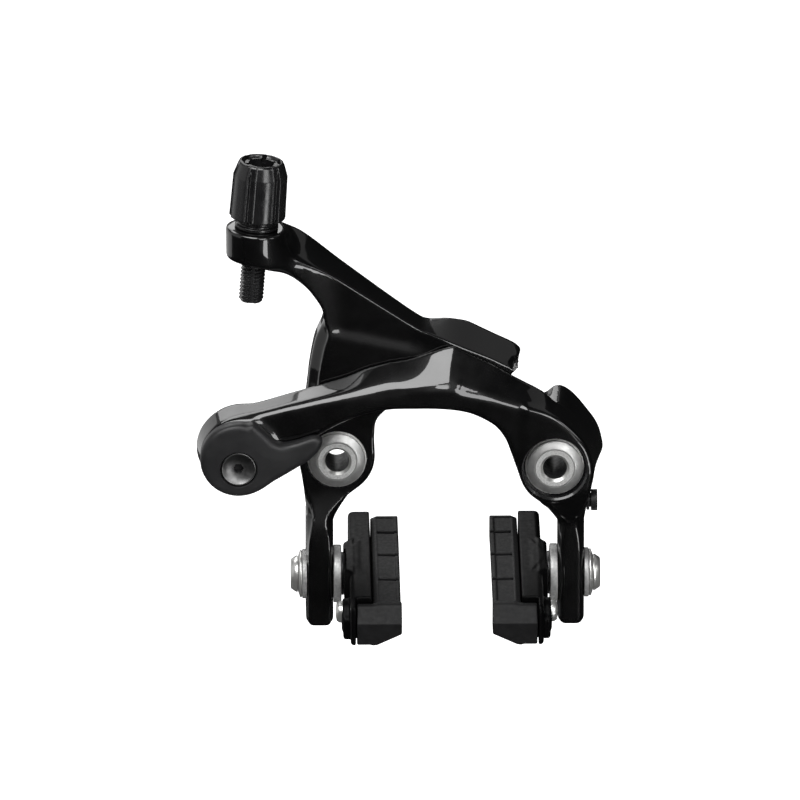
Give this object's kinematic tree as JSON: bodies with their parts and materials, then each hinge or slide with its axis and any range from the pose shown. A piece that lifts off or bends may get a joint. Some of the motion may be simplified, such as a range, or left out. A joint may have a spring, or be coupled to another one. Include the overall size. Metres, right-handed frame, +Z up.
{
  "type": "rim brake caliper",
  "caption": "Direct-mount dual-pivot road rim brake caliper with barrel adjuster, quick release lever and cartridge brake shoes.",
  "frame": {"origin": "midway between the two frame bolts, on the plane where the studs meet the frame", "axes": "+X to the right as seen from the front, +Y back to the frame, +Z up"},
  "size_m": [0.1045, 0.0567, 0.1257],
  "materials": {
    "arm_gloss": "gloss",
    "lever_satin": "satin",
    "turned_steel": "satin",
    "plated_steel": "polished",
    "spring_steel": "satin",
    "black_steel": "satin",
    "black_alloy": "satin",
    "knob_plastic": "gloss",
    "bearing_plastic": "matte",
    "holder_alloy": "satin",
    "pad_rubber": "matte"
  },
  "bodies": {
    "pivot_studs": {"left_pivot_stud": "turned_steel", "left_pivot_nut": "turned_steel", "left_thrust_washer": "plated_steel", "right_pivot_stud": "turned_steel", "right_pivot_nut": "turned_steel", "right_thrust_washer": "plated_steel"},
    "rear_arm_body": {"rear_arm": "arm_gloss", "left_pivot_bushing": "bearing_plastic", "left_return_spring": "spring_steel", "sync_plate": "plated_steel", "adjuster_seat": "bearing_plastic"},
    "front_arm_body": {"front_arm": "arm_gloss", "right_pivot_bushing": "bearing_plastic", "right_return_spring": "spring_steel", "roller_pin": "plated_steel"},
    "roller": {"sync_roller": "plated_steel"},
    "adjuster_knob_body": {"adjuster_knob": "knob_plastic"},
    "adjuster_bolt_body": {"adjuster_bolt": "black_alloy"},
    "centring_screw_body": {"centring_screw": "black_steel"},
    "quick_release": {"quick_release_lever": "lever_satin", "cam_shaft": "turned_steel", "lever_screw": "black_steel", "cable_clamp_plate": "plated_steel", "cable_clamp_bolt": "turned_steel"},
    "left_shoe_mounting": {"left_shoe_bolt": "plated_steel", "left_outer_washer": "plated_steel", "left_dished_washer": "plated_steel", "left_spacer_washer": "plated_steel", "left_convex_washer": "black_steel"},
    "left_shoe": {"left_shoe_holder": "holder_alloy", "left_pad_insert": "pad_rubber", "left_insert_screw": "plated_steel"},
    "right_shoe_mounting": {"right_shoe_bolt": "plated_steel", "right_outer_washer": "plated_steel", "right_dished_washer": "plated_steel", "right_spacer_washer": "plated_steel", "right_convex_washer": "black_steel"},
    "right_shoe": {"right_shoe_holder": "holder_alloy", "right_pad_insert": "pad_rubber", "right_insert_screw": "plated_steel"}
  },
  "joints": [
    {"name": "front_arm_pivot", "type": "hinge", "parent": "pivot_studs", "child": "front_arm_body", "pos_m": [0.028, -0.01, 0], "axis": [0, 1, 0], "range_deg": [0, 8], "stiffness_Nm_per_rad": 0.3, "springref_deg": -22.92},
    {"name": "rear_arm_pivot", "type": "hinge", "parent": "pivot_studs", "child": "rear_arm_body", "pos_m": [-0.028, -0.007, 0], "axis": [0, 1, 0], "range_deg": [-8, 0], "stiffness_Nm_per_rad": 0.3, "springref_deg": 22.92},
    {"name": "roller_spin", "type": "hinge", "parent": "front_arm_body", "child": "roller", "pos_m": [0, -0.0087, 0.0223], "axis": [0, 1, 0], "continuous": true},
    {"name": "adjuster_turn", "type": "hinge", "parent": "rear_arm_body", "child": "adjuster_knob_body", "pos_m": [-0.04785, -0.01, 0.07307], "axis": [0.075, 0, 0.9972], "range_deg": [-1081, 1081]},
    {"name": "adjuster_travel", "type": "slide", "parent": "rear_arm_body", "child": "adjuster_bolt_body", "axis": [0.075, 0, 0.9972], "range_m": [-0.003, 0.003]},
    {"name": "centring_turn", "type": "hinge", "parent": "front_arm_body", "child": "centring_screw_body", "pos_m": [0.035, -0.01, -0.0123], "axis": [1, 0, 0], "range_deg": [-360, 360]},
    {"name": "quick_release_swing", "type": "hinge", "parent": "front_arm_body", "child": "quick_release", "pos_m": [-0.0535, -0.016, 0.0018], "axis": [0, 1, 0], "range_deg": [0, 90]},
    {"name": "left_shoe_height", "type": "slide", "parent": "rear_arm_body", "child": "left_shoe_mounting", "axis": [0, 0, 1], "range_m": [-0.0034, 0.0034]},
    {"name": "left_shoe_tilt", "type": "hinge", "parent": "left_shoe_mounting", "child": "left_shoe", "pos_m": [-0.025, -0.01, -0.0322], "axis": [1, 0, 0], "range_deg": [-8, 8]},
    {"name": "right_shoe_height", "type": "slide", "parent": "front_arm_body", "child": "right_shoe_mounting", "axis": [0, 0, 1], "range_m": [-0.0034, 0.0034]},
    {"name": "right_shoe_tilt", "type": "hinge", "parent": "right_shoe_mounting", "child": "right_shoe", "pos_m": [0.025, -0.01, -0.0322], "axis": [1, 0, 0], "range_deg": [-8, 8]}
  ],
  "couplings": [
    {"joint": "rear_arm_pivot", "follows": "front_arm_pivot", "ratio": -1},
    {"joint": "adjuster_turn", "follows": "adjuster_travel", "rad_per_m": -6283.2}
  ]
}
